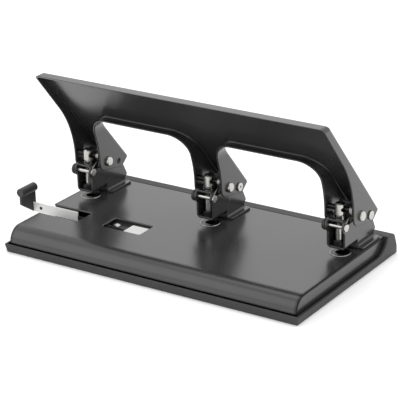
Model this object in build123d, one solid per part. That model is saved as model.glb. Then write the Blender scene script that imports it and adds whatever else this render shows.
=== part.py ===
import os
from math import atan2, ceil, cos, floor, hypot, pi, radians, sin, sqrt, tan

from build123d import *

# Heavy-duty three-hole paper punch, in millimetres.
# Row frame: +X to the right, +Y to the rear, +Z up, origin under the middle of the base.
# The three heads are drawn about their own punch axis (y = 0), with z counted from the table.

# Driving dimensions
PUNCH_PITCH = 108.0
PUNCH_LINE_BACK = 57.0
HEAD_NAMES = ("left", "middle", "right")

# Base tray
TRAY_W = 248.0
TRAY_D = 142.0
TRAY_FLOOR_T = 2.0
TRAY_WALL = 7.0
TRAY_DRAFT = 1.2
RIM_H = 6.5
RIM_EDGE_R = 1.0
GROOVE_D = 2.5
GROOVE_GAP = 1.4
SWEEP_R = 15.0
SWEEP_BACK = 31.0
REAR_WALL_TOP_R = 5.0
REAR_WALL_TOP_INSET = 6.5
LEDGE_Z = 10.0

# Base cover, a folded sheet
COVER_T = 1.5
COVER_TOP_Z = 18.0
COVER_SIDE_INSET = 3.0
COVER_FRONT_INSET = 3.0
COVER_LIP_R = 11.0
COVER_REAR_GAP = 0.3
END_PLATE_T = 1.5
END_PLATE_INSET = 0.5

# Opening for the paper guide in the left end of the cover, and its reading window
NOTCH_END_X = -86.0
NOTCH_AHEAD = 17.5
NOTCH_W = 18.5
NOTCH_CORNER_R = 1.5
NOTCH_SILL_Z = 8.6
WINDOW_X = -65.0
WINDOW_L = 33.0
WINDOW_AHEAD = 15.0
WINDOW_W = 17.3
WINDOW_CORNER_R = 1.5

# Punches and dies
PUNCH_D = 7.0
PUNCH_HEAD_D = 7.4
PUNCH_TIP_Z = 23.3
PUNCH_HEAD_Z = 46.5
PUNCH_TOP_Z = 55.5
PUNCH_CUT_DEPTH = 1.2
PUNCH_EDGE = 0.4
PUNCH_CHAMFER = 0.7
RUN_CLEARANCE = 0.05
DIE_CLEARANCE = 0.08
DIE_RIM_D = 15.0
DIE_RIM_H = 0.4
DIE_BODY_D = 12.0
DIE_DEPTH = 6.0
DIE_RELIEF_D = 8.4
DIE_LAND = 3.0
SEAT_CLEARANCE = 0.05
GUIDE_BUSH_D = 11.0
GUIDE_BUSH_H = 4.0

# Head brackets, folded sheet
BRACKET_T = 1.6
THROAT_H = 5.0
BRACKET_FRONT = -6.3
BRACKET_BEND_R = 3.0
NOSE_Y = -4.0
NOSE_Z = 40.0
NOSE_R = 5.3
BRIDGE_FRONT = -7.4
BRIDGE_DEPTH = 3.0
PAPER_STOP_Y = 11.0
SADDLE_FRONT = 18.2
SADDLE_BACK = 24.4
SHOULDER_Y = 33.6
SHOULDER_Z = 33.2
HEEL_Y = 37.9
HEEL_Z = 24.7
HEEL_BASE_Y = 35.2
HEEL_BASE_Z = 22.4
BACK_WALL_Z = 52.5
REAR_WEB_Y = 28.0
REAR_WEB_H = 9.0
FOOT_W = 4.4
FOOT_FRONT = 11.7
FOOT_BACK = 37.4
FOOT_BEND_R = 1.4
FOOT_RIVET_X = 3.0
FOOT_RIVET_Y = 20.5
FOOT_RIVET_D = 2.6
FOOT_RIVET_HEAD_D = 4.2
FOOT_RIVET_HEAD_H = 0.9

# Handle, one pressed sheet with three legs
HANDLE_T = 1.5
LEG_HALF_W = 12.0
FLANGE_FRONT_Y = -1.7
FLANGE_BEND_Z = 45.7
FLANGE_BEND_R = 72.0
FLANGE_LEAN = 39.0
HANDLE_TOP_Z = 124.1
WEB_LOW_Y = 34.0
WEB_LOW_Z = 42.0
WEB_LEAN = 40.25
WEB_END_H = 1.0
EAR_FRONT_Z = 45.2
EAR_TOE_Y = 4.8
EAR_TOE_Z = 38.8
EAR_HEEL_Y = 25.5
EAR_HEEL_Z = 35.3
EAR_HEEL_R = 3.0
BAY_TOP_Z = 85.0
BAY_CORNER_R = 15.0
HANDLE_BEND_R = 2.4
HANDLE_CORNER_R = 3.6

# Pins and rivets
PIVOT_Y = 8.1
PIVOT_Z = 45.1
PIVOT_D = 4.0
PIVOT_BOSS_R = 4.4
SHELF_H = 1.0
PIVOT_HEAD_D = 7.4
PIVOT_HEAD_H = 2.2
PIVOT_TAIL = 1.2
WASHER_D = 7.0
WASHER_T = 3.0
WASHER_GAP = 0.1
DRIVE_Y = 1.0
DRIVE_Z = 51.2
DRIVE_D = 3.0
DRIVE_PLAY = 0.3
DRIVE_SEAT = 0.8
SWING_MAX = 47.0
STOP_Y = 21.3
STOP_Z = 41.0
STOP_D = 4.0
STOP_HEAD_D = 6.6
STOP_HEAD_H = 1.3
STOP_GAP = 0.3
STOP_HEADS = ("middle", "right")
TIE_D = 3.0
TIE_HEAD_D = 6.0
TIE_HEAD_H = 1.1
TIE_Y = -5.6
TIE_CAP_D = 8.4
TIE_CAP_H = 2.7
TIE_CAP_SEAT = 1.8

# Torsion return springs round the drive pins
SPRING_WIRE_D = 0.6
SPRING_COIL_R = 3.0
SPRING_GAP = 0.46
SPRING_START = 300.0
SPRING_EXIT = -23.0
SPRING_SIDE_GAP = 0.12
SPRING_FRONT_ARM = 10.5
SPRING_REAR_ARM = 9.0

# Paper guide
GUIDE_AHEAD = 29.0
STRIP_T = 1.2
STRIP_LOW_Z = 10.2
STRIP_TOP_Z = 17.6
STRIP_STEP_X = -97.0
STRIP_LOW_TOP_Z = 14.4
STRIP_HOLE_D = 2.2
STRIP_HOLE_IN = 6.7
STOP_FACE_X = -139.7
STOP_PLATE_T = 2.2
STOP_PLATE_W = 17.0
STOP_BACK = 2.6
STOP_BEAD_D = 5.3
STOP_BEAD_Z = 28.0
STOP_FRONT_Z = 18.6
STOP_REAR_Z = 9.2
SLIDER_X = -67.0
SLIDER_L = 22.0
SLIDER_W = 11.0
SLIDER_Z = 8.6
SLIDER_TOP_Z = 14.9
SLIDER_BACK = 2.6
RAIL_T = 1.2
RAIL_Z = 7.1
RAIL_GAP = 0.3
RAIL_END_X = -26.0
SCALE_X = -48.0
SCALE_MARGIN = 2.0
SCALE_T = 1.2
DETENT_T = 0.5
DETENT_L = 7.0
DETENT_W = 4.0
DETENT_RISE = 0.9

# Sizes that follow from the driving dimensions
HALF_W = TRAY_W / 2
FRONT_Y = -TRAY_D / 2
REAR_Y = TRAY_D / 2
PUNCH_LINE_Y = REAR_Y - PUNCH_LINE_BACK
GUIDE_Y = PUNCH_LINE_Y - GUIDE_AHEAD
NOTCH_FRONT_Y = GUIDE_Y - NOTCH_AHEAD
WINDOW_FRONT_Y = GUIDE_Y - WINDOW_AHEAD
COVER_HALF_W = HALF_W - COVER_SIDE_INSET
COVER_FRONT_Y = FRONT_Y + COVER_FRONT_INSET
COVER_UNDER_Z = COVER_TOP_Z - COVER_T
GROOVE_Z = RIM_H - GROOVE_D
SWEEP_Y = REAR_Y - SWEEP_BACK
SWEEP_Z = RIM_H + SWEEP_R
COVER_REAR_Y = SWEEP_Y + sqrt(SWEEP_R**2 - (SWEEP_Z - COVER_UNDER_Z) ** 2) - COVER_REAR_GAP
END_PLATE_OUT_X = COVER_HALF_W - END_PLATE_INSET
EAR_IN_X = LEG_HALF_W - HANDLE_T
BRACKET_OUTER_X = EAR_IN_X - WASHER_T - WASHER_GAP
BRACKET_IN_X = BRACKET_OUTER_X - BRACKET_T
BRACKET_LOW_Z = COVER_TOP_Z + THROAT_H
NOSE_TOP_Z = NOSE_Z + NOSE_R
DRIVE_ARM = hypot(DRIVE_Y - PIVOT_Y, DRIVE_Z - PIVOT_Z)
DRIVE_ANGLE = atan2(DRIVE_Z - PIVOT_Z, DRIVE_Y - PIVOT_Y)
DRIVE_LOW_Z = PIVOT_Z + DRIVE_ARM * sin(DRIVE_ANGLE + radians(SWING_MAX))
DRIVE_DROP = DRIVE_Z - DRIVE_LOW_Z
SLOT_FRONT = PIVOT_Y - DRIVE_ARM - DRIVE_D / 2 - DRIVE_PLAY
SLOT_BACK = DRIVE_Y + DRIVE_D / 2 + DRIVE_PLAY
SLOT_LOW_Z = DRIVE_LOW_Z - (SLOT_BACK - SLOT_FRONT) / 2
SPRING_PITCH = SPRING_WIRE_D + SPRING_GAP
SPRING_ROOM = EAR_IN_X - BRACKET_OUTER_X - 2 * SPRING_SIDE_GAP - SPRING_WIRE_D
SPRING_TURNS = floor(SPRING_ROOM / SPRING_PITCH - SPRING_EXIT / 360)
STRIP_HOLE_X = STOP_FACE_X + STRIP_HOLE_IN
HANDLE_HALF_W = PUNCH_PITCH + LEG_HALF_W
HEADS = tuple(zip(HEAD_NAMES, (-PUNCH_PITCH, 0.0, PUNCH_PITCH)))


# Helpers for the side view (y, z) and for simple solids
def side_slab(edges, x_low, x_high):
    face = Pos(x_low, 0, 0) * (Plane.YZ * make_face(edges))
    return extrude(face, amount=x_high - x_low, dir=(1, 0, 0))


def block(x_low, x_high, y_low, y_high, z_low, z_high):
    middle = Pos((x_low + x_high) / 2, (y_low + y_high) / 2, (z_low + z_high) / 2)
    return middle * Box(x_high - x_low, y_high - y_low, z_high - z_low)


def rod_x(diameter, x_low, x_high, y, z):
    return Pos((x_low + x_high) / 2, y, z) * Rot(0, 90, 0) * Cylinder(diameter / 2, x_high - x_low)


def rod_y(diameter, y_low, y_high, x, z):
    return Pos(x, (y_low + y_high) / 2, z) * Rot(90, 0, 0) * Cylinder(diameter / 2, y_high - y_low)


def rod_z(diameter, z_low, z_high, x=0.0, y=0.0):
    return Pos(x, y, (z_low + z_high) / 2) * Cylinder(diameter / 2, z_high - z_low)


def both_sides(solid):
    return [solid, mirror(solid, Plane.YZ)]


def edges_near(solid, y, z):
    return [e for e in solid.edges() if abs(e.center().Y - y) < 0.01 and abs(e.center().Z - z) < 0.01]


def head_x(diameter, height, x_face):
    head = rod_x(diameter, x_face, x_face + height, 0, 0)
    return chamfer(head.edges().filter_by(GeomType.CIRCLE).sort_by(Axis.X)[-1], 0.3 * height)


def rivet_x(shank_d, head_d, head_h, x_face):
    shank = rod_x(shank_d, -x_face, x_face, 0, 0)
    return shank + both_sides(head_x(head_d, head_h, x_face))


def sweep_height(y, radius):
    return SWEEP_Z - sqrt(radius**2 - (y - SWEEP_Y) ** 2)


# Base: tray, cover and end plates
def base_tray():
    sweep_end = SWEEP_Y + sqrt(SWEEP_R**2 - (SWEEP_Z - COVER_TOP_Z) ** 2)
    sweep_mid = SWEEP_Y + 0.6 * (sweep_end - SWEEP_Y)
    rear_top = REAR_Y - REAR_WALL_TOP_INSET
    outline = [
        Line((FRONT_Y + TRAY_DRAFT, 0), (FRONT_Y, RIM_H)),
        Line((FRONT_Y, RIM_H), (SWEEP_Y, RIM_H)),
        ThreePointArc(
            (SWEEP_Y, RIM_H),
            (sweep_mid, sweep_height(sweep_mid, SWEEP_R)),
            (sweep_end, COVER_TOP_Z),
        ),
        Line((sweep_end, COVER_TOP_Z), (rear_top, COVER_TOP_Z)),
        Line((rear_top, COVER_TOP_Z), (REAR_Y, 0)),
        Line((REAR_Y, 0), (FRONT_Y + TRAY_DRAFT, 0)),
    ]
    tray = side_slab(outline, -HALF_W, HALF_W)
    tray = fillet(edges_near(tray, rear_top, COVER_TOP_Z), REAR_WALL_TOP_R)
    tray = fillet(edges_near(tray, FRONT_Y, RIM_H), RIM_EDGE_R)
    draft = Polyline((HALF_W, RIM_H), (HALF_W, 0), (HALF_W - TRAY_DRAFT, 0), close=True)
    wedge = extrude(Plane.XZ * make_face(draft), amount=TRAY_D, both=True)
    tray -= both_sides(wedge)
    wall_x = HALF_W - TRAY_WALL
    flange_back = COVER_REAR_Y + COVER_REAR_GAP
    cavity_front = FRONT_Y + TRAY_WALL
    tray -= block(-wall_x, wall_x, cavity_front, flange_back - TRAY_WALL, TRAY_FLOOR_T, 2 * COVER_TOP_Z)
    tray -= block(-wall_x, wall_x, cavity_front, flange_back, LEDGE_Z, 2 * COVER_TOP_Z)
    groove_front = COVER_FRONT_Y - GROOVE_GAP
    groove_x = END_PLATE_OUT_X + GROOVE_GAP
    groove_back = COVER_FRONT_Y + COVER_T + SEAT_CLEARANCE
    tray -= block(-groove_x, groove_x, groove_front, groove_back, GROOVE_Z, 2 * COVER_TOP_Z)
    plate_in = END_PLATE_OUT_X - END_PLATE_T - SEAT_CLEARANCE
    tray -= both_sides(side_slab(end_room(groove_front, flange_back, 2 * COVER_TOP_Z), plate_in, groove_x))
    return tray


def end_room(front, back, top):
    low_r = SWEEP_R + GROOVE_D
    mid = SWEEP_Y + 0.6 * (back - SWEEP_Y)
    return [
        Line((front, top), (front, GROOVE_Z)),
        Line((front, GROOVE_Z), (SWEEP_Y, GROOVE_Z)),
        ThreePointArc((SWEEP_Y, GROOVE_Z), (mid, sweep_height(mid, low_r)), (back, sweep_height(back, low_r))),
        Line((back, sweep_height(back, low_r)), (back, top)),
        Line((back, top), (front, top)),
    ]


def cover_profile(offset, low_z):
    bend_y = COVER_FRONT_Y + COVER_LIP_R
    bend_z = COVER_TOP_Z - COVER_LIP_R
    radius = COVER_LIP_R - offset
    rise = radius * sin(radians(45))
    return [
        Line((bend_y - radius, low_z), (bend_y - radius, bend_z)),
        ThreePointArc((bend_y - radius, bend_z), (bend_y - rise, bend_z + rise), (bend_y, bend_z + radius)),
        Line((bend_y, bend_z + radius), (COVER_REAR_Y, bend_z + radius)),
        Line((COVER_REAR_Y, bend_z + radius), (COVER_REAR_Y, low_z)),
        Line((COVER_REAR_Y, low_z), (bend_y - radius, low_z)),
    ]


def base_cover():
    sheet = side_slab(cover_profile(0.0, GROOVE_Z), -COVER_HALF_W, COVER_HALF_W)
    inside = side_slab(cover_profile(COVER_T, GROOVE_Z - 1), -HALF_W, HALF_W)
    sheet -= inside
    flange_x = HALF_W - TRAY_WALL - COVER_REAR_GAP
    sheet += block(-flange_x, flange_x, COVER_REAR_Y - COVER_T, COVER_REAR_Y, LEDGE_Z, COVER_UNDER_Z)
    notch_back = NOTCH_FRONT_Y + NOTCH_W
    notch = block(-HALF_W, NOTCH_END_X, NOTCH_FRONT_Y, notch_back, COVER_UNDER_Z - 1, COVER_TOP_Z + 1)
    sheet -= fillet(notch.edges().filter_by(Axis.Z).group_by(Axis.X)[-1], NOTCH_CORNER_R)
    window = block(
        WINDOW_X,
        WINDOW_X + WINDOW_L,
        WINDOW_FRONT_Y,
        WINDOW_FRONT_Y + WINDOW_W,
        COVER_UNDER_Z - 1,
        COVER_TOP_Z + 1,
    )
    sheet -= fillet(window.edges().filter_by(Axis.Z), WINDOW_CORNER_R)
    for _, x in HEADS:
        seat = rod_z(DIE_BODY_D + 2 * SEAT_CLEARANCE, COVER_UNDER_Z - 1, COVER_TOP_Z + 1)
        sheet -= Pos(x, PUNCH_LINE_Y, 0) * seat
        for side in (-1, 1):
            hole = rod_z(FOOT_RIVET_D + 2 * SEAT_CLEARANCE, COVER_UNDER_Z - 1, COVER_TOP_Z + 1)
            sheet -= Pos(x + side * FOOT_RIVET_X, PUNCH_LINE_Y + FOOT_RIVET_Y, 0) * hole
    return sheet


def end_plate():
    x_in = END_PLATE_OUT_X - END_PLATE_T
    plate = side_slab(end_room(COVER_FRONT_Y, COVER_REAR_Y, COVER_TOP_Z), x_in, END_PLATE_OUT_X)
    room = side_slab(cover_profile(COVER_T + SEAT_CLEARANCE, GROOVE_Z - 1), x_in - 1, HALF_W)
    return plate & room


def left_end_plate():
    notch_back = NOTCH_FRONT_Y + NOTCH_W
    gap = block(-HALF_W, 0, NOTCH_FRONT_Y, notch_back, NOTCH_SILL_Z, 2 * COVER_TOP_Z)
    return mirror(end_plate(), Plane.YZ) - gap


# One punch head, about its punch axis
def die():
    low_z = COVER_TOP_Z - DIE_DEPTH
    rim = rod_z(DIE_RIM_D, COVER_TOP_Z, COVER_TOP_Z + DIE_RIM_H)
    rim = chamfer(rim.edges().filter_by(GeomType.CIRCLE).sort_by(Axis.Z)[-1], 0.5 * DIE_RIM_H)
    body = rod_z(DIE_BODY_D, low_z, COVER_TOP_Z) + rim
    body -= rod_z(PUNCH_D + 2 * DIE_CLEARANCE, low_z - 1, COVER_TOP_Z + 1)
    return body - rod_z(DIE_RELIEF_D, low_z - 1, COVER_TOP_Z - DIE_LAND)


def bracket_side():
    nose_low = NOSE_Z - sqrt(NOSE_R**2 - (BRACKET_FRONT - NOSE_Y) ** 2)
    slot_mid = (SLOT_FRONT + SLOT_BACK) / 2
    slot_r = (SLOT_BACK - SLOT_FRONT) / 2
    saddle = STOP_Z - STOP_D / 2 - STOP_GAP
    shelf_z = SLOT_LOW_Z + slot_r + SHELF_H
    boss_front = PIVOT_Y - sqrt(PIVOT_BOSS_R**2 - (shelf_z - PIVOT_Z) ** 2)
    boss_back = PIVOT_Y + PIVOT_BOSS_R
    outline = [
        Line((BRACKET_FRONT, BRACKET_LOW_Z), (BRACKET_FRONT, nose_low)),
        ThreePointArc((BRACKET_FRONT, nose_low), (NOSE_Y - NOSE_R, NOSE_Z), (NOSE_Y, NOSE_TOP_Z)),
        Line((NOSE_Y, NOSE_TOP_Z), (SLOT_FRONT, NOSE_TOP_Z)),
        Line((SLOT_FRONT, NOSE_TOP_Z), (SLOT_FRONT, SLOT_LOW_Z + slot_r)),
        ThreePointArc(
            (SLOT_FRONT, SLOT_LOW_Z + slot_r),
            (slot_mid, SLOT_LOW_Z),
            (SLOT_BACK, SLOT_LOW_Z + slot_r),
        ),
        Polyline((SLOT_BACK, SLOT_LOW_Z + slot_r), (SLOT_BACK, shelf_z), (boss_front, shelf_z)),
        ThreePointArc((boss_front, shelf_z), (PIVOT_Y, PIVOT_Z + PIVOT_BOSS_R), (boss_back, PIVOT_Z)),
        Polyline(
            (boss_back, PIVOT_Z),
            (SADDLE_FRONT, saddle),
            (SADDLE_BACK, saddle),
            (SHOULDER_Y, SHOULDER_Z),
            (HEEL_Y, HEEL_Z),
            (HEEL_BASE_Y, HEEL_BASE_Z),
            (HEEL_BASE_Y, COVER_TOP_Z),
            (PAPER_STOP_Y, COVER_TOP_Z),
            (PAPER_STOP_Y, BRACKET_LOW_Z),
            (BRACKET_FRONT, BRACKET_LOW_Z),
        ),
    ]
    return side_slab(outline, BRACKET_IN_X, BRACKET_OUTER_X)


def bracket():
    body = bracket_side() + mirror(bracket_side(), Plane.YZ)
    stop_back = PAPER_STOP_Y + BRACKET_T
    floor_top = BRACKET_LOW_Z + BRACKET_T
    body += block(-BRACKET_OUTER_X, BRACKET_OUTER_X, BRACKET_FRONT, stop_back, BRACKET_LOW_Z, floor_top)
    body += block(-BRACKET_OUTER_X, BRACKET_OUTER_X, PAPER_STOP_Y, stop_back, COVER_TOP_Z, BACK_WALL_Z)
    rear_top = COVER_TOP_Z + REAR_WEB_H
    body += block(-BRACKET_IN_X, BRACKET_IN_X, REAR_WEB_Y, REAR_WEB_Y + BRACKET_T, COVER_TOP_Z, rear_top)
    bridge_back = BRIDGE_FRONT + BRIDGE_DEPTH
    body += block(-BRACKET_IN_X, BRACKET_IN_X, BRIDGE_FRONT, bridge_back, NOSE_TOP_Z - BRACKET_T, NOSE_TOP_Z)
    bend_x = BRACKET_OUTER_X - BRACKET_BEND_R
    bend_z = BRACKET_LOW_Z + BRACKET_BEND_R
    corner = block(bend_x, BRACKET_OUTER_X + 1, BRACKET_FRONT - 1, PAPER_STOP_Y, BRACKET_LOW_Z - 1, bend_z)
    corner -= rod_y(2 * BRACKET_BEND_R, BRACKET_FRONT - 2, PAPER_STOP_Y + 1, bend_x, bend_z)
    body -= both_sides(corner)
    foot = block(
        BRACKET_IN_X,
        BRACKET_OUTER_X + FOOT_W,
        FOOT_FRONT,
        FOOT_BACK,
        COVER_TOP_Z,
        COVER_TOP_Z + BRACKET_T,
    )
    foot = fillet(foot.edges().filter_by(Axis.Z).group_by(Axis.X)[-1], 0.45 * FOOT_W)
    curl_x = BRACKET_OUTER_X + FOOT_BEND_R
    curl_z = COVER_TOP_Z + BRACKET_T + FOOT_BEND_R
    curl = block(BRACKET_IN_X, curl_x, stop_back, HEEL_BASE_Y, COVER_TOP_Z, curl_z)
    curl -= rod_y(2 * FOOT_BEND_R, FOOT_FRONT - 1, HEEL_BASE_Y + 1, curl_x, curl_z)
    body += both_sides(foot + curl)
    web = block(-BRACKET_IN_X, BRACKET_IN_X, stop_back, REAR_WEB_Y, COVER_TOP_Z, COVER_TOP_Z + BRACKET_T)
    for side in (-1, 1):
        web -= rod_z(FOOT_RIVET_D + 2 * SEAT_CLEARANCE, 0, 2 * COVER_TOP_Z, side * FOOT_RIVET_X, FOOT_RIVET_Y)
    body += web
    reach = 2 * BRACKET_OUTER_X
    body -= rod_x(TIE_D + 2 * SEAT_CLEARANCE, -reach, reach, TIE_Y, NOSE_Z)
    body -= rod_x(PIVOT_D + 2 * RUN_CLEARANCE, -reach, reach, PIVOT_Y, PIVOT_Z)
    return body - rod_z(PUNCH_D + 2 * RUN_CLEARANCE, BRACKET_LOW_Z - 1, floor_top + 1)


def guide_bush():
    low_z = BRACKET_LOW_Z + BRACKET_T
    bush = rod_z(GUIDE_BUSH_D, low_z, low_z + GUIDE_BUSH_H)
    bush = chamfer(bush.edges().filter_by(GeomType.CIRCLE).sort_by(Axis.Z)[-1], 0.15 * GUIDE_BUSH_H)
    return bush - rod_z(PUNCH_D + 2 * RUN_CLEARANCE, low_z - 1, low_z + GUIDE_BUSH_H + 1)


def foot_rivet():
    low_z = COVER_UNDER_Z - FOOT_RIVET_HEAD_H
    top_z = COVER_TOP_Z + BRACKET_T
    head = rod_z(FOOT_RIVET_HEAD_D, top_z, top_z + FOOT_RIVET_HEAD_H)
    head = chamfer(head.edges().filter_by(GeomType.CIRCLE).sort_by(Axis.Z)[-1], 0.4 * FOOT_RIVET_HEAD_H)
    tail = rod_z(FOOT_RIVET_HEAD_D, low_z, COVER_UNDER_Z)
    return rod_z(FOOT_RIVET_D, low_z, top_z) + head + tail


def tie_rivet():
    shank = rod_x(TIE_D, -BRACKET_OUTER_X - TIE_CAP_SEAT, BRACKET_OUTER_X, 0, 0)
    return Pos(0, TIE_Y, NOSE_Z) * (shank + head_x(TIE_HEAD_D, TIE_HEAD_H, BRACKET_OUTER_X))


def tie_cap():
    cap = mirror(head_x(TIE_CAP_D, TIE_CAP_H, BRACKET_OUTER_X), Plane.YZ)
    seat_x = -BRACKET_OUTER_X - TIE_CAP_SEAT - SEAT_CLEARANCE
    return Pos(0, TIE_Y, NOSE_Z) * (cap - rod_x(TIE_D + 2 * SEAT_CLEARANCE, seat_x, 0, 0, 0))


def pivot_pin():
    stub = rod_x(PIVOT_D, BRACKET_IN_X - PIVOT_TAIL, LEG_HALF_W, 0, 0)
    stub += head_x(PIVOT_HEAD_D, PIVOT_HEAD_H, LEG_HALF_W)
    return Pos(0, PIVOT_Y, PIVOT_Z) * stub


def stop_pin():
    return Pos(0, STOP_Y, STOP_Z) * rivet_x(STOP_D, STOP_HEAD_D, STOP_HEAD_H, LEG_HALF_W)


def drive_pin():
    reach = EAR_IN_X + DRIVE_SEAT
    return rod_x(DRIVE_D, -reach, reach, DRIVE_Y, DRIVE_Z)


def pivot_washer():
    x_in = EAR_IN_X - WASHER_T
    ring = rod_x(WASHER_D, x_in, EAR_IN_X, PIVOT_Y, PIVOT_Z)
    return ring - rod_x(PIVOT_D + 2 * SEAT_CLEARANCE, x_in - 1, EAR_IN_X + 1, PIVOT_Y, PIVOT_Z)


def punch_pin():
    shank = rod_z(PUNCH_D, PUNCH_TIP_Z, PUNCH_HEAD_Z)
    head = rod_z(PUNCH_HEAD_D, PUNCH_HEAD_Z, PUNCH_TOP_Z)
    pin = shank + chamfer(head.edges().filter_by(GeomType.CIRCLE), PUNCH_CHAMFER)
    edge_y = PUNCH_D / 2 - PUNCH_EDGE
    hollow = Polyline(
        (-edge_y, PUNCH_TIP_Z - 1),
        (-edge_y, PUNCH_TIP_Z),
        (0, PUNCH_TIP_Z + PUNCH_CUT_DEPTH),
        (edge_y, PUNCH_TIP_Z),
        (edge_y, PUNCH_TIP_Z - 1),
        close=True,
    )
    pin -= side_slab(hollow, -PUNCH_D, PUNCH_D)
    slot_r = DRIVE_D / 2 + DRIVE_PLAY
    for y in (SLOT_FRONT + slot_r, SLOT_BACK - slot_r):
        pin -= rod_x(2 * slot_r, -PUNCH_D, PUNCH_D, y, DRIVE_Z)
    return pin - block(
        -PUNCH_D,
        PUNCH_D,
        SLOT_FRONT + slot_r,
        SLOT_BACK - slot_r,
        DRIVE_Z - slot_r,
        DRIVE_Z + slot_r,
    )


# Torsion spring: a front arm on the tie rivet head, turns round the drive pin, a rear arm on the washer
def biarc(start, start_dir, end, end_dir):
    span = end - start
    both = start_dir + end_dir
    bend = 2 * (1 - start_dir.dot(end_dir))
    along = span.dot(both)
    reach = (sqrt(along**2 + bend * span.dot(span)) - along) / bend
    knee_a = start + start_dir * reach
    knee_b = end - end_dir * reach
    joint = (knee_a + knee_b) * 0.5
    joint_dir = (knee_b - knee_a).normalized()
    return [
        TangentArc(start, joint, tangent=start_dir),
        TangentArc(joint, end, tangent=joint_dir),
    ]


def return_spring():
    start_angle = radians(SPRING_START)
    turn = radians(360 * SPRING_TURNS + SPRING_EXIT)
    steps = ceil(turn / (pi / 2))
    first_x = BRACKET_OUTER_X + SPRING_SIDE_GAP + SPRING_WIRE_D / 2
    climb = SPRING_PITCH / (2 * pi)
    points = []
    tangents = []
    for i in range(steps + 1):
        angle = start_angle + turn * i / steps
        x = first_x + climb * (angle - start_angle)
        y = DRIVE_Y + SPRING_COIL_R * cos(angle)
        z = DRIVE_Z + SPRING_COIL_R * sin(angle)
        points.append(Vector(x, y, z))
        lead = climb if 0 < i < steps else 0.0
        heading = Vector(lead, -SPRING_COIL_R * sin(angle), SPRING_COIL_R * cos(angle))
        tangents.append(heading.normalized())
    edges = [Line(points[0] - tangents[0] * SPRING_FRONT_ARM, points[0])]
    for i in range(steps):
        edges += biarc(points[i], tangents[i], points[i + 1], tangents[i + 1])
    edges.append(Line(points[-1], points[-1] + tangents[-1] * SPRING_REAR_ARM))
    path = Wire([edge for part in edges for edge in part.edges()])
    section = Plane(origin=path @ 0, z_dir=path % 0) * Circle(SPRING_WIRE_D / 2)
    print("spring least gap %.2f mm" % least_gap(path))
    return sweep(section, path=path)


def least_gap(path):
    count = 240
    spots = [path @ (i / count) for i in range(count + 1)]
    apart = ceil(count * 4 * SPRING_WIRE_D / path.length)
    gaps = [
        (spots[i] - spots[j]).length
        for i in range(count + 1)
        for j in range(i + apart, count + 1)
    ]
    return min(gaps) - SPRING_WIRE_D


# Handle: a leaning web at the rear, with flanges that stand forward all round its comb outline
def web_rear(z):
    return WEB_LOW_Y - (z - WEB_LOW_Z) * tan(radians(WEB_LEAN))


def handle_block():
    lean = radians(FLANGE_LEAN)
    middle_y = FLANGE_FRONT_Y - FLANGE_BEND_R
    bend_y = middle_y + FLANGE_BEND_R * cos(lean)
    bend_z = FLANGE_BEND_Z + FLANGE_BEND_R * sin(lean)
    half_y = middle_y + FLANGE_BEND_R * cos(lean / 2)
    half_z = FLANGE_BEND_Z + FLANGE_BEND_R * sin(lean / 2)
    outline = [
        Line((FLANGE_FRONT_Y, 0), (FLANGE_FRONT_Y, FLANGE_BEND_Z)),
        ThreePointArc((FLANGE_FRONT_Y, FLANGE_BEND_Z), (half_y, half_z), (bend_y, bend_z)),
        Polyline(
            (bend_y, bend_z),
            (bend_y - (HANDLE_TOP_Z - bend_z) * tan(lean), HANDLE_TOP_Z),
            (web_rear(HANDLE_TOP_Z), HANDLE_TOP_Z),
            (WEB_LOW_Y, WEB_LOW_Z),
            (WEB_LOW_Y, 0),
            (FLANGE_FRONT_Y, 0),
        ),
    ]
    return side_slab(outline, -HANDLE_HALF_W, HANDLE_HALF_W)


def handle_inside():
    far = 2 * HANDLE_TOP_Z
    wall = HANDLE_T / cos(radians(WEB_LEAN))
    outline = Polyline(
        (-far, -1),
        (web_rear(-1) - wall, -1),
        (web_rear(HANDLE_TOP_Z) - wall, HANDLE_TOP_Z),
        (-far, HANDLE_TOP_Z),
        close=True,
    )
    return side_slab(outline, -HANDLE_HALF_W, HANDLE_HALF_W)


def handle_comb(inset):
    half_w = HANDLE_HALF_W - inset
    deep = 3 * HANDLE_TOP_Z
    comb = block(-half_w, half_w, -deep, deep, -2, HANDLE_TOP_Z - inset)
    comb = fillet(comb.edges().filter_by(Axis.Y).group_by(Axis.Z)[-1], HANDLE_CORNER_R - inset)
    bay_low = LEG_HALF_W - inset
    bay = block(bay_low, PUNCH_PITCH - bay_low, -deep, deep, -3, BAY_TOP_Z + inset)
    bay = fillet(bay.edges().filter_by(Axis.Y).group_by(Axis.Z)[-1], BAY_CORNER_R + inset)
    return comb - both_sides(bay)


def web_rim(solid):
    rim = []
    for face in solid.faces():
        facing = face.normal_at()
        if facing.Y > 0.5 and facing.Z > 0.3:
            rim += [e for e in face.edges() if e.center().Z > WEB_LOW_Z + 0.01]
    return rim


def below_ears():
    round_y = EAR_TOE_Y - FLANGE_FRONT_Y
    round_z = EAR_FRONT_Z - EAR_TOE_Z
    half = radians(45)
    toe_mid = (EAR_TOE_Y - round_y * cos(half), EAR_FRONT_Z - round_z * sin(half))
    outline = [
        ThreePointArc((FLANGE_FRONT_Y, EAR_FRONT_Z), toe_mid, (EAR_TOE_Y, EAR_TOE_Z)),
        Polyline(
            (EAR_TOE_Y, EAR_TOE_Z),
            (EAR_HEEL_Y, EAR_HEEL_Z),
            (WEB_LOW_Y, WEB_LOW_Z),
            (2 * WEB_LOW_Y, WEB_LOW_Z),
            (2 * WEB_LOW_Y, -1),
            (2 * FLANGE_FRONT_Y, -1),
            (2 * FLANGE_FRONT_Y, EAR_FRONT_Z),
            (FLANGE_FRONT_Y, EAR_FRONT_Z),
        ),
    ]
    cutter = side_slab(outline, -2 * HANDLE_HALF_W, 2 * HANDLE_HALF_W)
    return fillet(edges_near(cutter, EAR_HEEL_Y, EAR_HEEL_Z), EAR_HEEL_R)


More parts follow.
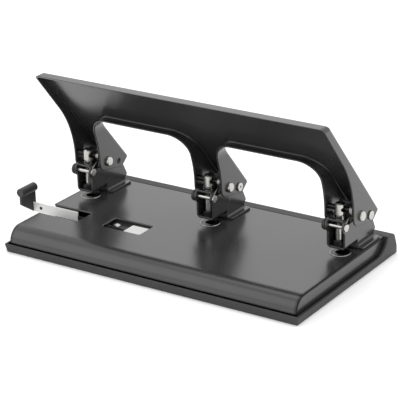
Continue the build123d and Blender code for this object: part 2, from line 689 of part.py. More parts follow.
def handle_lever():
    outer = handle_block() & handle_comb(0.0)
    outer = fillet(web_rim(outer), HANDLE_BEND_R)
    inner = handle_inside() & handle_comb(HANDLE_T)
    inner = fillet(web_rim(inner), HANDLE_BEND_R - HANDLE_T)
    sheet = outer - inner - below_ears()
    cuts = block(-EAR_IN_X, EAR_IN_X, 0, 2 * WEB_LOW_Y, 0, WEB_LOW_Z + WEB_END_H)
    reach = 2 * LEG_HALF_W
    cuts += rod_x(PIVOT_D + 2 * SEAT_CLEARANCE, -reach, reach, PIVOT_Y, PIVOT_Z)
    cuts += rod_x(STOP_D + 2 * SEAT_CLEARANCE, -reach, reach, STOP_Y, STOP_Z)
    seat = EAR_IN_X + DRIVE_SEAT + SEAT_CLEARANCE
    cuts += rod_x(DRIVE_D + 2 * SEAT_CLEARANCE, -seat, seat, DRIVE_Y, DRIVE_Z)
    for _, x in HEADS:
        sheet -= Pos(x, 0, 0) * cuts
    return Pos(0, PUNCH_LINE_Y, 0) * sheet


# Paper guide and what carries it under the cover
def guide_strip():
    y_low = GUIDE_Y - STRIP_T / 2
    y_high = GUIDE_Y + STRIP_T / 2
    left = STOP_FACE_X - STOP_PLATE_T
    right = SLIDER_X + SLIDER_L - SLIDER_BACK
    strip = block(left, STRIP_STEP_X, y_low, y_high, STRIP_LOW_Z, STRIP_TOP_Z)
    strip += block(STRIP_STEP_X, right, y_low, y_high, STRIP_LOW_Z, STRIP_LOW_TOP_Z)
    return strip - rod_y(STRIP_HOLE_D, y_low - 1, y_high + 1, STRIP_HOLE_X, (STRIP_LOW_Z + STRIP_TOP_Z) / 2)


def guide_stop():
    back = GUIDE_Y + STOP_BACK
    front = back - STOP_PLATE_W
    outline = Polyline(
        (front, STOP_BEAD_Z),
        (front, STOP_FRONT_Z),
        (back, STOP_REAR_Z),
        (back, STOP_BEAD_Z),
        close=True,
    )
    left = STOP_FACE_X - STOP_PLATE_T
    stop = side_slab(outline, left, STOP_FACE_X)
    bead = rod_y(STOP_BEAD_D, front, back, STOP_FACE_X - STOP_PLATE_T / 2, STOP_BEAD_Z)
    stop += chamfer(bead.edges().filter_by(GeomType.CIRCLE), 0.15 * STOP_BEAD_D)
    slot_y = STRIP_T / 2 + SEAT_CLEARANCE
    return stop - block(
        left - 1,
        STOP_FACE_X + 1,
        GUIDE_Y - slot_y,
        GUIDE_Y + slot_y,
        STRIP_LOW_Z - SEAT_CLEARANCE,
        STRIP_TOP_Z + SEAT_CLEARANCE,
    )


def guide_slider():
    back = GUIDE_Y + SLIDER_BACK
    right = SLIDER_X + SLIDER_L
    slider = block(SLIDER_X, right, back - SLIDER_W, back, SLIDER_Z, SLIDER_TOP_Z)
    slider = fillet(slider.edges().filter_by(Axis.Z), 0.1 * SLIDER_W)
    slot_y = STRIP_T / 2 + SEAT_CLEARANCE
    return slider - block(
        SLIDER_X - 1,
        right - SLIDER_BACK + SEAT_CLEARANCE,
        GUIDE_Y - slot_y,
        GUIDE_Y + slot_y,
        STRIP_LOW_Z - SEAT_CLEARANCE,
        SLIDER_TOP_Z + 1,
    )


def detent_spring():
    left = SLIDER_X + SLIDER_BACK
    right = left + DETENT_L
    middle = (left + right) / 2
    top = SLIDER_TOP_Z + DETENT_T
    leaf = make_face(
        [
            ThreePointArc((left, top), (middle, top + DETENT_RISE), (right, top)),
            Line((right, top), (right, SLIDER_TOP_Z)),
            ThreePointArc((right, SLIDER_TOP_Z), (middle, SLIDER_TOP_Z + DETENT_RISE), (left, SLIDER_TOP_Z)),
            Line((left, SLIDER_TOP_Z), (left, top)),
        ]
    )
    y_high = GUIDE_Y - STRIP_T - SLIDER_BACK / 2
    return extrude(Pos(0, y_high, 0) * (Plane.XZ * leaf), amount=DETENT_W, dir=(0, -1, 0))


def guide_rail():
    back = GUIDE_Y + SLIDER_BACK + RAIL_GAP
    front = back - SLIDER_W - 2 * RAIL_GAP
    rail = block(NOTCH_END_X, RAIL_END_X, front - RAIL_T, back + RAIL_T, RAIL_Z, COVER_UNDER_Z)
    rail -= block(NOTCH_END_X - 1, RAIL_END_X + 1, front, back, SLIDER_Z - RAIL_GAP, COVER_UNDER_Z + 1)
    scale_room = SCALE_X - RAIL_GAP
    scale_z = COVER_UNDER_Z - SCALE_T
    return rail - block(scale_room, RAIL_END_X + 1, front - RAIL_T - 1, back + RAIL_T + 1, scale_z, COVER_TOP_Z)


def scale_plate():
    front = WINDOW_FRONT_Y - SCALE_MARGIN
    back = WINDOW_FRONT_Y + WINDOW_W + SCALE_MARGIN
    return block(SCALE_X, WINDOW_X + WINDOW_L + SCALE_MARGIN, front, back, COVER_UNDER_Z - SCALE_T, COVER_UNDER_Z)


def at_heads(solid, names=HEAD_NAMES):
    return {name: Pos(x, PUNCH_LINE_Y, 0) * solid for name, x in HEADS if name in names}


def assembly():
    nodes = {
        "base_tray": base_tray(),
        "base_cover": base_cover(),
        "end_plate_left": left_end_plate(),
        "end_plate_right": end_plate(),
        "guide_rail": guide_rail(),
        "scale_plate": scale_plate(),
        "handle_lever": handle_lever(),
        "guide_strip": guide_strip(),
        "guide_stop": guide_stop(),
        "guide_slider": guide_slider(),
        "detent_spring": detent_spring(),
    }
    per_head = {
        "die": die(),
        "bracket": bracket(),
        "guide_bush": guide_bush(),
        "drive_pin": drive_pin(),
        "punch_pin": punch_pin(),
        "return_spring": return_spring(),
    }
    for node, solid in per_head.items():
        for name, placed in at_heads(solid).items():
            nodes[node + "_" + name] = placed
    rivet = Pos(FOOT_RIVET_X, FOOT_RIVET_Y, 0) * foot_rivet()
    nodes["foot_rivets"] = group(both_sides(rivet))
    nodes["pivot_pins"] = group(both_sides(pivot_pin()))
    nodes["pivot_washers"] = group(both_sides(pivot_washer()))
    nodes["tie_rivets"] = group([tie_rivet()])
    nodes["tie_caps"] = group([tie_cap()])
    nodes["stop_pins"] = group([stop_pin()], STOP_HEADS)
    return nodes


def group(solids, names=HEAD_NAMES):
    return Compound(children=[placed for solid in solids for placed in at_heads(solid, names).values()])


if __name__ == "__main__":
    os.makedirs("parts", exist_ok=True)
    for node_name, shape in assembly().items():
        export_step(shape, "parts/" + node_name + ".step")
    print("drive drop at full swing %.2f mm" % DRIVE_DROP)
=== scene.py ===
import math

import bmesh
import bpy
from mathutils import Matrix, Vector


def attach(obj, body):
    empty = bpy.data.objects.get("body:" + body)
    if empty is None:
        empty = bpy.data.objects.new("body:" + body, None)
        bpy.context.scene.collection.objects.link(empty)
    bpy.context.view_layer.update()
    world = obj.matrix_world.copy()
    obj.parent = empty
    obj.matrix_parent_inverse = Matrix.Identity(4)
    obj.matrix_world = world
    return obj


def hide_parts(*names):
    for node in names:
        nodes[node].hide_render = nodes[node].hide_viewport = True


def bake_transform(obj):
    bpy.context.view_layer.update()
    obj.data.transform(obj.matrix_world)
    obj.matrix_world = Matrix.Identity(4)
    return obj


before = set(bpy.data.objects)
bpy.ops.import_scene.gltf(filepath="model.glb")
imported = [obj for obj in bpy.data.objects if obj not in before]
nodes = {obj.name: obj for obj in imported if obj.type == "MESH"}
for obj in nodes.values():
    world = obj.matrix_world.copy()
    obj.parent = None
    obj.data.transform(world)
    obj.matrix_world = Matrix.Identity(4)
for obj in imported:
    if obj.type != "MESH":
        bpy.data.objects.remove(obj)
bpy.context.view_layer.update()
headStep = 0.108  # metres from punch to punch
headPlaces = {"left": -headStep, "middle": 0.0, "right": headStep}  # X of each punch
print("frame loaded,", len(nodes), "nodes")


# Helpers for pieces and nodes
def addObject(name, data):
    obj = bpy.data.objects.new(name, data)
    bpy.context.scene.collection.objects.link(obj)
    return obj


def evenNormals(obj):
    normal = obj.modifiers.new("normal", "WEIGHTED_NORMAL")
    normal.keep_sharp = True


def pieceFrom(bm, name, mat):
    mesh = bpy.data.meshes.new(name)
    bm.to_mesh(mesh)
    bm.free()
    mesh.shade_smooth()
    mesh.materials.append(mat)
    piece = addObject(name, mesh)
    evenNormals(piece)
    return piece


def lookUp(table, name):
    keys = [key for key in table if name.startswith(key)]
    return table[max(keys, key=len)] if keys else None


def farEdge(nodeName, axis):
    return max(corner["XYZ".index(axis)] for corner in nodes[nodeName].bound_box)


# Shader helpers: every pattern reads Object coordinates, in metres
plainDetail = 2.0  # octaves of a noise
fineDetail = 3.0


def startMaterial(name, colour, roughness, metallic=0.0):
    mat = bpy.data.materials.new(name)
    mat.use_nodes = True
    tree = mat.node_tree
    shader = tree.nodes["Principled BSDF"]
    shader.inputs["Base Color"].default_value = (*colour, 1.0)
    shader.inputs["Roughness"].default_value = roughness
    shader.inputs["Metallic"].default_value = metallic
    return mat, tree, shader


def feed(tree, value, socket):
    if isinstance(value, bpy.types.NodeSocket):
        tree.links.new(value, socket)
    else:
        socket.default_value = value


def objectCoords(tree, stretch=(1.0, 1.0, 1.0)):
    coords = tree.nodes.new("ShaderNodeTexCoord")
    mapping = tree.nodes.new("ShaderNodeMapping")
    mapping.inputs["Scale"].default_value = stretch
    tree.links.new(coords.outputs["Object"], mapping.inputs["Vector"])
    return mapping.outputs["Vector"]


def axesOf(tree):
    split = tree.nodes.new("ShaderNodeSeparateXYZ")
    tree.links.new(objectCoords(tree), split.inputs[0])
    return split.outputs


def noiseOf(tree, vector, grain, detail=plainDetail):
    noise = tree.nodes.new("ShaderNodeTexNoise")
    noise.inputs["Scale"].default_value = 1.0 / grain
    noise.inputs["Detail"].default_value = detail
    tree.links.new(vector, noise.inputs["Vector"])
    return noise.outputs["Fac"]


def rangeOf(tree, value, low, high, fromLow=0.3, fromHigh=0.7):
    ramp = tree.nodes.new("ShaderNodeMapRange")
    ramp.inputs["From Min"].default_value = fromLow
    ramp.inputs["From Max"].default_value = fromHigh
    ramp.inputs["To Min"].default_value = low
    ramp.inputs["To Max"].default_value = high
    tree.links.new(value, ramp.inputs["Value"])
    return ramp.outputs["Result"]


def shaded(colour, shade):
    return tuple(part * shade for part in colour)


def mixOf(tree, factor, colourA, colourB):
    mix = tree.nodes.new("ShaderNodeMix")
    mix.data_type = "RGBA"
    for key, colour in (("A", colourA), ("B", colourB)):
        feed(tree, (*colour, 1.0) if isinstance(colour, tuple) else colour, mix.inputs[key])
    tree.links.new(factor, mix.inputs["Factor"])
    return mix.outputs["Result"]


def mathNode(tree, operation, *values, clamp=False):
    node = tree.nodes.new("ShaderNodeMath")
    node.operation = operation
    node.use_clamp = clamp
    for value, socket in zip(values, node.inputs):
        feed(tree, value, socket)
    return node.outputs[0]


def roughBetween(tree, shader, value, low, high):
    tree.links.new(rangeOf(tree, value, low, high), shader.inputs["Roughness"])


def bumpOf(tree, shader, height, strength, depth):
    bump = tree.nodes.new("ShaderNodeBump")
    bump.inputs["Strength"].default_value = strength
    bump.inputs["Distance"].default_value = depth
    tree.links.new(height, bump.inputs["Height"])
    tree.links.new(bump.outputs["Normal"], shader.inputs["Normal"])


# Satin powder coat of the sheet-metal pieces; the optional band along a side edge is painted shade: near
# that edge the colour goes black and the gloss dims, standing in for the shade of the rolled edge
coatFinish = {
    "deep": (0.024, 0.024, 0.025),
    "pale": (0.036, 0.036, 0.037),
    "roughLow": 0.20,
    "roughHigh": 0.27,
    "glossLow": 0.14,
    "glossHigh": 0.20,
    "specular": 0.72,
    "grain": 0.0006,
    "cloud": 0.030,
    "bump": 0.25,
    "depth": 0.000012,
    "paintedShadeWidth": 0.0026,
    "paintedShadeLevel": 0.12,
    "paintedShadeBlack": (0.003, 0.003, 0.003),
}


def powderCoat(name, sheen="rough", lift=1.0, paintedShadeAt=None):
    finish = coatFinish
    low, high = finish[sheen + "Low"], finish[sheen + "High"]
    mat, tree, shader = startMaterial(name, finish["deep"], low)
    coords = objectCoords(tree)
    cloud = noiseOf(tree, coords, finish["cloud"], fineDetail)
    grain = noiseOf(tree, coords, finish["grain"])
    colour = mixOf(tree, cloud, shaded(finish["deep"], lift), shaded(finish["pale"], lift))
    roughBetween(tree, shader, grain, low, high)
    shader.inputs["Specular IOR Level"].default_value = finish["specular"]
    # painted shade: towards the side edge the colour goes black and the gloss dims
    if paintedShadeAt:
        out = mathNode(tree, "ABSOLUTE", axesOf(tree)["X"])
        paintedShade = rangeOf(tree, out, 1.0, finish["paintedShadeLevel"], paintedShadeAt - finish["paintedShadeWidth"], paintedShadeAt)
        level = mathNode(tree, "MULTIPLY", paintedShade, finish["specular"])
        tree.links.new(level, shader.inputs["Specular IOR Level"])
        colour = mixOf(tree, paintedShade, finish["paintedShadeBlack"], colour)
    tree.links.new(colour, shader.inputs["Base Color"])
    bumpOf(tree, shader, grain, finish["bump"], finish["depth"])
    return mat


# Soft black plastic of the tray, the stop, the slider and the caps
plasticFinish = {
    "deep": (0.018, 0.018, 0.018),
    "pale": (0.030, 0.030, 0.030),
    "smoother": 0.06,
    "rougher": 0.08,
    "grain": 0.0004,
    "cloud": 0.020,
    "bump": 0.5,
    "depth": 0.00004,
}


def mouldedPlastic(name, roughness):
    finish = plasticFinish
    mat, tree, shader = startMaterial(name, finish["deep"], roughness)
    coords = objectCoords(tree)
    grain = noiseOf(tree, coords, finish["grain"], fineDetail)
    cloud = noiseOf(tree, coords, finish["cloud"])
    tree.links.new(mixOf(tree, cloud, finish["deep"], finish["pale"]), shader.inputs["Base Color"])
    roughBetween(tree, shader, grain, roughness - finish["smoother"], roughness + finish["rougher"])
    bumpOf(tree, shader, grain, finish["bump"], finish["depth"])
    return mat


# Bright plated steel: fine lines run round or along the piece by stretching the noise
steelFinish = {
    "bright": (0.57, 0.56, 0.54),
    "dull": (0.45, 0.44, 0.42),
    "smoother": 0.05,
    "rougher": 0.08,
    "line": 0.00035,
    "spot": 0.004,
    "bump": 0.25,
    "depth": 0.00001,
}


def platedSteel(name, roughness, stretch, shade=1.0):
    finish = steelFinish
    mat, tree, shader = startMaterial(name, finish["bright"], roughness, metallic=1.0)
    lines = noiseOf(tree, objectCoords(tree, stretch), finish["line"])
    spots = noiseOf(tree, objectCoords(tree), finish["spot"], fineDetail)
    colour = mixOf(tree, spots, shaded(finish["bright"], shade), shaded(finish["dull"], shade))
    tree.links.new(colour, shader.inputs["Base Color"])
    roughBetween(tree, shader, lines, roughness - finish["smoother"], roughness + finish["rougher"])
    bumpOf(tree, shader, lines, finish["bump"], finish["depth"])
    return mat


# Dies: blackened ring with a brighter band round its outer edge, partly ground bare metal and partly a
# painted highlight of that edge; X repeats from head to head
dieFinish = {
    "dark": (0.055, 0.054, 0.052),
    "bright": (0.44, 0.43, 0.42),
    "highlightRimFrom": 0.0069,
    "highlightRimTo": 0.0073,
    "lineY": 0.014,
    "roughness": 0.26,
    "smoother": 0.06,
    "rougher": 0.08,
    "grain": 0.0004,
}


def dieRing(name):
    finish = dieFinish
    mat, tree, shader = startMaterial(name, finish["dark"], finish["roughness"], metallic=1.0)
    axes = axesOf(tree)
    half = headStep / 2
    x = mathNode(tree, "WRAP", axes["X"], half, -half)
    y = mathNode(tree, "SUBTRACT", axes["Y"], finish["lineY"])
    square = mathNode(tree, "MULTIPLY_ADD", x, x, mathNode(tree, "MULTIPLY", y, y))
    radius = mathNode(tree, "SQRT", square)
    # brighter band round the outer edge: ground metal and painted highlight
    rimHighlight = rangeOf(tree, radius, 0.0, 1.0, finish["highlightRimFrom"], finish["highlightRimTo"])
    tree.links.new(mixOf(tree, rimHighlight, finish["dark"], finish["bright"]), shader.inputs["Base Color"])
    grain = noiseOf(tree, objectCoords(tree), finish["grain"])
    low, high = finish["roughness"] - finish["smoother"], finish["roughness"] + finish["rougher"]
    roughBetween(tree, shader, grain, low, high)
    return mat


# Pale strip of the paper guide, and the white plate in the window. The strip turns dark past stripEnd
# along X; the plate's dark band along its rear edge is painted shade, standing in for the shade of the
# window's rear wall
paleFinish = {
    "strip": (0.91, 0.91, 0.90),
    "stripWorn": (0.87, 0.87, 0.86),
    "stripEnd": -0.0984,
    "plate": (0.88, 0.88, 0.87),
    "plateWorn": (0.80, 0.80, 0.79),
    "darkBeyond": (0.02, 0.02, 0.02),
    "plateShadeWidth": 0.0046,
    "roughness": 0.45,
    "smoother": 0.05,
    "rougher": 0.10,
    "line": 0.0006,
    "stretch": (0.1, 1.0, 1.0),
    "bump": 0.2,
    "depth": 0.00001,
}


def paleSheet(name, sheet, darkAxis, darkFrom):
    finish = paleFinish
    mat, tree, shader = startMaterial(name, finish[sheet], finish["roughness"])
    lines = noiseOf(tree, objectCoords(tree, finish["stretch"]), finish["line"], fineDetail)
    tint = mixOf(tree, lines, finish[sheet], finish[sheet + "Worn"])
    # past the given point the colour is dark: painted shade on the plate, the strip's dark end on the
    # strip
    darkBeyond = mathNode(tree, "GREATER_THAN", axesOf(tree)[darkAxis], darkFrom)
    tree.links.new(mixOf(tree, darkBeyond, tint, finish["darkBeyond"]), shader.inputs["Base Color"])
    low, high = finish["roughness"] - finish["smoother"], finish["roughness"] + finish["rougher"]
    roughBetween(tree, shader, lines, low, high)
    bumpOf(tree, shader, lines, finish["bump"], finish["depth"])
    return mat


coatBlack = powderCoat("coatBlack")
# the cover's side edges carry the painted shade band
coverBlack = powderCoat("coverBlack", paintedShadeAt=farEdge("base_cover", "X"))
headBlack = powderCoat("headBlack", sheen="gloss", lift=0.8)
trayBlack = mouldedPlastic("trayBlack", roughness=0.55)
stopBlack = mouldedPlastic("stopBlack", roughness=0.45)
pinSteel = platedSteel("pinSteel", roughness=0.22, stretch=(0.2, 1.0, 1.0))
punchSteel = platedSteel("punchSteel", roughness=0.20, stretch=(1.0, 1.0, 0.1))
dieBlack = dieRing("dieBlack")
blackSteel = platedSteel("blackSteel", roughness=0.36, stretch=(0.2, 1.0, 1.0), shade=0.07)
springSteel = platedSteel("springSteel", roughness=0.24, stretch=(1.0, 1.0, 1.0), shade=0.85)
stripPale = paleSheet("stripPale", "strip", "X", paleFinish["stripEnd"])
# the plate's dark band along its rear edge is painted shade
plateWhite = paleSheet("plateWhite", "plate", "Y", farEdge("scale_plate", "Y") - paleFinish["plateShadeWidth"])

nodeFinish = {
    "base_tray": trayBlack,
    "base_cover": coverBlack,
    "end_plate": coatBlack,
    "bracket": headBlack,
    "handle_lever": coatBlack,
    "die": dieBlack,
    "guide_bush": blackSteel,
    "guide_rail": coatBlack,
    "scale_plate": plateWhite,
    "tie_rivets": pinSteel,
    "tie_caps": stopBlack,
    "foot_rivets": pinSteel,
    "pivot_pins": pinSteel,
    "pivot_washers": pinSteel,
    "drive_pin": blackSteel,
    "stop_pins": pinSteel,
    "punch_pin": punchSteel,
    "return_spring": springSteel,
    "guide_strip": stripPale,
    "guide_stop": stopBlack,
    "guide_slider": stopBlack,
    "detent_spring": springSteel,
}


def finishNodes():
    for name, obj in nodes.items():
        obj.data.materials.clear()
        obj.data.materials.append(lookUp(nodeFinish, name))


finishNodes()
print("finishes on", len(nodes), "nodes")


# Eased edges: the sheet and the turned pieces have no knife edges, and catch a line of light there
edgeWork = {
    "weld": 0.000002,  # metres, to join the node's loose triangles
    "flat": 0.6,  # degrees, below which faces are one
    "sharp": 40.0,  # degrees, above which an edge is rounded
    "segments": 2,
}
easedEdges = {
    # node, width of the rounding in metres
    "base_tray": 0.0005,
    "base_cover": 0.0006,
    "end_plate": 0.0006,
    "scale_plate": 0.0002,
    "guide_strip": 0.0002,
    "guide_stop": 0.0004,
    "guide_slider": 0.0003,
    "tie_caps": 0.0005,
    "pivot_pins": 0.0003,
    "tie_rivets": 0.0002,
}


def easeEdge(obj, width):
    weld = obj.modifiers.new("weld", "WELD")
    weld.merge_threshold = edgeWork["weld"]
    flat = obj.modifiers.new("flat", "DECIMATE")
    flat.decimate_type = "DISSOLVE"
    flat.angle_limit = math.radians(edgeWork["flat"])
    bevel = obj.modifiers.new("ease", "BEVEL")
    bevel.width = width
    bevel.segments = edgeWork["segments"]
    bevel.limit_method = "ANGLE"
    bevel.angle_limit = math.radians(edgeWork["sharp"])
    bevel.use_clamp_overlap = False
    evenNormals(obj)


def easeEdges():
    for name, obj in nodes.items():
        width = lookUp(easedEdges, name)
        if width:
            easeEdge(obj, width)


# Pressed sheet: a merged copy of the node with its cut edges rounded, except at a few tight notches
pressedSheet = {
    # notches: places on either side of a head, kept clear of the rounding
    "handle": {
        "width": 0.0005,
        "clear": 0.0015,
        "notches": [(0.0100, 0.0466, 0.0429)],
    },
    "bracket": {
        "width": 0.0004,
        "clear": 0.0022,
        "notches": [(0.0074, 0.0258, 0.0181), (0.0050, 0.0492, 0.0197)],
    },
}


def pressedCopy(name, nodeName, body, sheet, heads):
    bm = bmesh.new()
    bm.from_mesh(nodes[nodeName].data)
    bmesh.ops.remove_doubles(bm, verts=bm.verts, dist=edgeWork["weld"])
    flat, sharp = math.radians(edgeWork["flat"]), math.radians(edgeWork["sharp"])
    bmesh.ops.dissolve_limit(bm, angle_limit=flat, verts=bm.verts, edges=bm.edges)
    notches = [Vector((headX + side * x, y, z))
               for headX in heads for side in (-1, 1) for x, y, z in sheet["notches"]]
    edges = []
    for edge in bm.edges:
        near = min((vert.co - spot).length for vert in edge.verts for spot in notches)
        if len(edge.link_faces) == 2 and edge.calc_face_angle() > sharp and near > sheet["clear"]:
            edges.append(edge)
    bmesh.ops.bevel(bm, geom=edges, offset=sheet["width"], offset_type="OFFSET", profile=0.5,
                    segments=edgeWork["segments"], affect="EDGES", clamp_overlap=False)
    piece = pieceFrom(bm, name, nodes[nodeName].data.materials[0])
    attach(piece, body)
    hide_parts(nodeName)


# Paper guide: copies of the strip and the stop that reach a little lower than their nodes
guideFit = {
    "stripDrop": 0.0012,
    "stripStep": -0.0970,  # X of the step in the strip
    "stepShift": -0.0014,
    "near": 0.0002,  # points this close to the step belong to it
    "plateFoot": 0.0120,  # what lies below this height is the plate's foot
    "plateDrop": 0.0018,
}


def stripMove(spot):
    shift = guideFit["stepShift"] if abs(spot.x - guideFit["stripStep"]) < guideFit["near"] else 0.0
    return Vector((shift, 0.0, -guideFit["stripDrop"]))


def plateMove(spot):
    return Vector((0.0, 0.0, -guideFit["plateDrop"] if spot.z < guideFit["plateFoot"] else 0.0))


def guideCopy(name, nodeName, move):
    mesh = nodes[nodeName].data.copy()
    for vert in mesh.vertices:
        vert.co += move(vert.co)
    piece = addObject(name, mesh)
    easeEdge(piece, easedEdges[nodeName])
    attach(piece, "paper_guide")
    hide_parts(nodeName)


guideCopy("strip_blade", "guide_strip", stripMove)
guideCopy("stop_paddle", "guide_stop", plateMove)
easeEdges()
pressedCopy("handle_pressing", "handle_lever", "handle", pressedSheet["handle"], headPlaces.values())
for headName, headX in headPlaces.items():
    pressedCopy("bracket_pressing_" + headName, "bracket_" + headName, "base",
                pressedSheet["bracket"], [headX])
print("edges eased")


# Turned pieces: a profile of (radius, along) run round a line that points along X or Y
def turnedPiece(name, profile, axis, side, z, steps, mat, shifts=(0.0,)):
    def spot(along, out, up):
        return (along, side + out, z + up) if axis == "X" else (side + out, along, z + up)

    angles = [2 * math.pi * i / steps for i in range(steps)]
    bm = bmesh.new()
    for shift in shifts:
        rings = []
        for radius, along in profile:
            turns = angles if radius > 0.0 else angles[:1]
            spots = [spot(along + shift, radius * math.cos(t), radius * math.sin(t)) for t in turns]
            rings.append([bm.verts.new(place) for place in spots])
        for low, high in zip(rings, rings[1:]):
            for i in range(steps):
                j = (i + 1) % steps
                corners = [low[i % len(low)], low[j % len(low)], high[j % len(high)], high[i % len(high)]]
                bm.faces.new(list(dict.fromkeys(corners)))
    bmesh.ops.recalc_face_normals(bm, faces=bm.faces)
    return pieceFrom(bm, name, mat)


def quarterTurn(steps):
    return [math.pi / 2 * step / steps for step in range(steps + 1)]


# Soft roll over the top of the paper stop, with a shallow dish in each end
stopRoll = {
    "x": -0.1408,
    "z": 0.0280,
    "front": -0.0297,
    "back": -0.0121,
    "radius": 0.0034,
    "round": 0.0007,
    "roundSteps": 4,
    "dishDepth": 0.0004,
    "dishFloor": 0.00153,
    "dishRim": 0.00187,
    "steps": 48,
}


def makeRoll():
    size = stopRoll
    end = [(0.0, size["dishDepth"]), (size["dishFloor"], size["dishDepth"]), (size["dishRim"], 0.0)]
    for turn in quarterTurn(size["roundSteps"]):
        radius = size["radius"] - size["round"] * (1 - math.sin(turn))
        end.append((radius, size["round"] * (1 - math.cos(turn))))
    front = [(radius, size["front"] + along) for radius, along in end]
    back = [(radius, size["back"] - along) for radius, along in reversed(end)]
    piece = turnedPiece("stop_roll", front + back, "Y", size["x"], size["z"], size["steps"], stopBlack)
    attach(piece, "paper_guide")


# Small dark rivet in the pale strip, domed on both sides
stripRivet = {
    "x": -0.1330,
    "z": 0.0127,
    "front": -0.0156,
    "back": -0.0144,
    "headRadius": 0.00125,
    "headHeight": 0.0004,
    "domeSteps": 5,
    "shankRadius": 0.0010,
    "steps": 32,
}


def makeRivet():
    size = stripRivet
    dome = [(size["headRadius"] * math.sin(turn), size["headHeight"] * math.cos(turn))
            for turn in quarterTurn(size["domeSteps"])]
    front = [(radius, size["front"] - rise) for radius, rise in dome]
    back = [(radius, size["back"] + rise) for radius, rise in reversed(dome)]
    shank = [(size["shankRadius"], size["front"]), (size["shankRadius"], size["back"])]
    profile = front + shank + back
    piece = turnedPiece("strip_rivet", profile, "Y", size["x"], size["z"], size["steps"], blackSteel)
    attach(piece, "paper_guide")


# Dished plugs in the two bare holes of the left leg, where the other legs carry a stop pin
earHole = {
    "y": 0.0353,
    "z": 0.0410,
    "radius": 0.0020,
}
earPlug = {
    "innerFace": 0.0106,
    "innerFlat": 0.0018,
    "innerEdge": 0.0001,
    "outerFace": 0.0117,
    "outerFlat": 0.0017,
    "outerEdge": 0.0002,
    "dishDepth": 0.0004,
    "dishFloor": 0.0011,
    "steps": 32,
}


def makePlugs():
    size = earPlug
    inner, outer = size["innerFace"], size["outerFace"]
    shape = [
        (0.0, inner),
        (size["innerFlat"], inner),
        (earHole["radius"], inner + size["innerEdge"]),
        (earHole["radius"], outer - size["outerEdge"]),
        (size["outerFlat"], outer),
        (size["dishFloor"], outer - size["dishDepth"]),
        (0.0, outer - size["dishDepth"]),
    ]
    for name, way in (("right", 1), ("left", -1)):
        profile = [(radius, headPlaces["left"] + way * along) for radius, along in shape]
        piece = turnedPiece("ear_plug_" + name, profile, "X", earHole["y"], earHole["z"],
                            size["steps"], blackSteel)
        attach(piece, "handle")


# Stop pins of the middle and right legs, with a punched dimple in each head
stopPin = {
    "legHalf": 0.0120,
    "headRadius": 0.0033,
    "headHeight": 0.0013,
    "edge": 0.0004,
    "edgeMiddle": 0.00012,
    "dimpleRim": 0.00108,
    "dimpleRadius": 0.0009,
    "dimpleLip": 0.000105,
    "dimpleFloor": 0.00036,
    "dimpleDepth": 0.0007,
    "steps": 40,
}


def makeStopPins():
    size = stopPin
    end = size["legHalf"] + size["headHeight"]
    head = [
        (earHole["radius"], size["legHalf"]),
        (size["headRadius"], size["legHalf"]),
        (size["headRadius"], end - size["edge"]),
        (size["headRadius"] - size["edgeMiddle"], end - size["edgeMiddle"]),
        (size["headRadius"] - size["edge"], end),
        (size["dimpleRim"], end),
        (size["dimpleRadius"], end - size["dimpleLip"]),
        (size["dimpleFloor"], end - size["dimpleDepth"]),
        (0.0, end - size["dimpleDepth"]),
    ]
    profile = [(radius, -along) for radius, along in reversed(head)] + head
    shifts = (headPlaces["middle"], headPlaces["right"])
    piece = turnedPiece("stop_rivets", profile, "X", earHole["y"], earHole["z"],
                        size["steps"], pinSteel, shifts)
    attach(piece, "handle")
    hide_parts("stop_pins")


makeRoll()
makeRivet()
makePlugs()
makeStopPins()
print("turned pieces ready")


# Torsion springs: about three turns round the drive pin, one arm on the tie rivet, one on the washer
springWire = {
    "wireRadius": 0.0003,
    "coilRadius": 0.0030,
    "coilY": 0.0150,
    "coilZ": 0.0512,
    "firstSide": 0.00782,
    "rise": 0.00220,
    "startAngle": 300.0,
    "turn": 1057.0,
    "frontArm": 0.0105,
    "rearArm": 0.0090,
    "armSteps": 12,
    "coilSteps": 144,
    "roundSteps": 14,
    "bendFrom": 0.0034,
}


def springSizes(headX):
    return {
        "Wire radius": springWire["wireRadius"],
        "Coil radius": springWire["coilRadius"],
        "Coil Y": springWire["coilY"],
        "Coil Z": springWire["coilZ"],
        "First X": headX + springWire["firstSide"],
        "Rise": springWire["rise"],
        "Start angle": math.radians(springWire["startAngle"]),
        "Turn": math.radians(springWire["turn"]),
        "Front arm": springWire["frontArm"],
        "Rear arm": springWire["rearArm"],
    }


